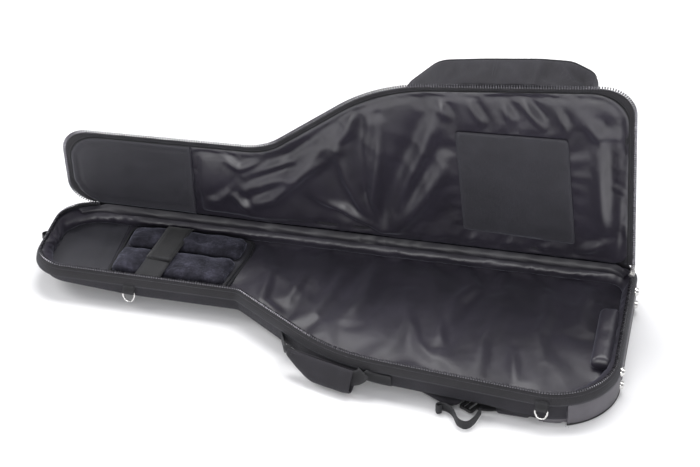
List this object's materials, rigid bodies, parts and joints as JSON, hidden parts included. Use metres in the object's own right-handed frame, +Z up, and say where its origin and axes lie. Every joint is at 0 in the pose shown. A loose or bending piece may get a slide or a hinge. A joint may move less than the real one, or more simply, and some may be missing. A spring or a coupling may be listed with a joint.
{
  "type": "padded gig bag",
  "caption": "Padded electric-guitar gig bag lying on its back with the lid open, with zips, neck cradle, handle and shoulder straps.",
  "frame": {"origin": "on the ground, under the upper back pad, on the bag's resting face", "axes": "+X from the headstock end to the tail end, +Y towards the hinge side, +Z up"},
  "size_m": [1.0946, 0.5025, 0.4607],
  "materials": {
    "outer_nylon": "dark charcoal woven nylon",
    "foam": "closed-cell foam, hidden",
    "satin_lining": "glossy satin lining",
    "smooth_patch": "smooth matte coated nylon",
    "plush": "short-pile plush",
    "guard_leather": "leather-look reinforcement",
    "mesh_pad": "spacer mesh on the lumbar pad",
    "webbing": "woven polypropylene webbing",
    "hook_and_loop": "hook-and-loop strap",
    "zip_tape": "zip tape",
    "zip_teeth": "moulded zip teeth",
    "chrome": "polished",
    "slider_metal": "gunmetal enamel",
    "buckle_plastic": "moulded acetal"
  },
  "bodies": {
    "tray": {"back_panel_cover": "outer_nylon", "back_panel_foam": "foam", "floor_lining": "satin_lining", "headstock_floor_patch": "smooth_patch", "side_wall_cover": "outer_nylon", "side_wall_foam": "foam", "side_wall_lining": "satin_lining", "tail_guard": "guard_leather", "tail_base_pad": "guard_leather", "bottom_piping": "webbing", "tail_piping": "webbing", "tray_zip_tape": "zip_tape", "tray_zip_teeth": "zip_teeth", "hinge_strip": "smooth_patch", "neck_cradle_base": "smooth_patch", "neck_pillow_near": "plush", "neck_pillow_far": "plush", "end_pin_cushion": "smooth_patch", "tail_studs": "chrome", "d_ring_tab_head": "webbing", "d_ring_tab_tail": "webbing", "handle_anchor_head": "webbing", "handle_anchor_tail": "webbing", "yoke_pad": "outer_nylon", "lumbar_pad": "mesh_pad", "lower_webbing_near": "webbing", "lower_webbing_far": "webbing", "strap_anchor_near": "outer_nylon", "strap_anchor_far": "outer_nylon", "hang_loop": "webbing"},
    "lid": {"lid_cover": "outer_nylon", "lid_foam": "foam", "lid_lining": "satin_lining", "lid_headstock_patch": "smooth_patch", "lid_inner_pocket": "smooth_patch", "lid_zip_tape": "zip_tape", "lid_zip_teeth": "zip_teeth", "lid_seam_cord": "webbing", "pocket_gusset": "outer_nylon", "pocket_panel": "outer_nylon", "pocket_zip_tape": "zip_tape", "pocket_zip_teeth": "zip_teeth"},
    "slider_tail": {"slider_tail": "slider_metal"},
    "slider_tail_pull": {"slider_tail_pull": "slider_metal"},
    "slider_pocket": {"slider_pocket": "slider_metal"},
    "slider_pocket_pull": {"slider_pocket_pull": "slider_metal"},
    "handle": {"handle_wrap": "outer_nylon", "handle_webbing": "webbing"},
    "d_ring_head": {"d_ring_head": "chrome"},
    "d_ring_tail": {"d_ring_tail": "chrome"},
    "neck_strap_near": {"neck_strap_near": "webbing"},
    "neck_strap_far": {"neck_strap_far": "hook_and_loop"},
    "shoulder_near": {"shoulder_strap_near": "outer_nylon", "strap_tail_near": "webbing"},
    "shoulder_far": {"shoulder_strap_far": "outer_nylon"},
    "ladder_lock_near": {"ladder_lock_near": "buckle_plastic"},
    "ladder_lock_far": {"ladder_lock_far": "buckle_plastic"}
  },
  "joints": [
    {"name": "lid_hinge", "type": "hinge", "parent": "tray", "child": "lid", "pos_m": [0, 0.19, 0.066], "axis": [-1, 0, 0], "range_deg": [-82, 80], "stiffness_Nm_per_rad": 8},
    {"name": "slider_tail_slide", "type": "slide", "parent": "tray", "child": "slider_tail", "axis": [0, -1, 0], "range_m": [0, 0.22]},
    {"name": "slider_tail_pull_swing", "type": "hinge", "parent": "slider_tail", "child": "slider_tail_pull", "pos_m": [0.525, 0.168, 0.0696], "axis": [1, 0, 0], "range_deg": [0, 170]},
    {"name": "slider_pocket_slide", "type": "slide", "parent": "lid", "child": "slider_pocket", "axis": [0, -0.1392, 0.9903], "range_m": [0, 0.2]},
    {"name": "slider_pocket_pull_swing", "type": "hinge", "parent": "slider_pocket", "child": "slider_pocket_pull", "pos_m": [0.4463, 0.226, 0.16194], "axis": [0, -0.9903, -0.1392], "range_deg": [0, 170]},
    {"name": "handle_swing", "type": "hinge", "parent": "tray", "child": "handle", "pos_m": [0.034, -0.16, 0.046], "axis": [-0.9563, 0.2924, 0], "range_deg": [0, 120]},
    {"name": "d_ring_head_swing", "type": "hinge", "parent": "tray", "child": "d_ring_head", "pos_m": [-0.349, -0.02706, 0.032], "axis": [-0.9999, 0.0158, 0], "range_deg": [0, 140]},
    {"name": "d_ring_tail_swing", "type": "hinge", "parent": "tray", "child": "d_ring_tail", "pos_m": [0.416, -0.21112, 0.038], "axis": [-0.9938, 0.1109, 0], "range_deg": [0, 140]},
    {"name": "neck_strap_near_lift", "type": "hinge", "parent": "tray", "child": "neck_strap_near", "pos_m": [-0.317, 0, 0.0505], "axis": [1, 0, 0], "range_deg": [0, 100]},
    {"name": "neck_strap_far_lift", "type": "hinge", "parent": "tray", "child": "neck_strap_far", "pos_m": [-0.305, 0.156, 0.0505], "axis": [-1, 0, 0], "range_deg": [0, 95]},
    {"name": "shoulder_near_swing", "type": "hinge", "parent": "tray", "child": "shoulder_near", "pos_m": [0.048, -0.041, 0.0075], "axis": [0.5, 0.866, 0], "range_deg": [0, 50]},
    {"name": "ladder_lock_near_tilt", "type": "hinge", "parent": "shoulder_near", "child": "ladder_lock_near", "pos_m": [0.28529, -0.178, 0.006], "axis": [0.5, 0.866, 0], "range_deg": [0, 40]},
    {"name": "shoulder_far_swing", "type": "hinge", "parent": "tray", "child": "shoulder_far", "pos_m": [0.048, 0.043, 0.0075], "axis": [-0.5, 0.866, 0], "range_deg": [0, 50]},
    {"name": "ladder_lock_far_tilt", "type": "hinge", "parent": "shoulder_far", "child": "ladder_lock_far", "pos_m": [0.28529, 0.18, 0.006], "axis": [-0.5, 0.866, 0], "range_deg": [0, 40]}
  ]
}
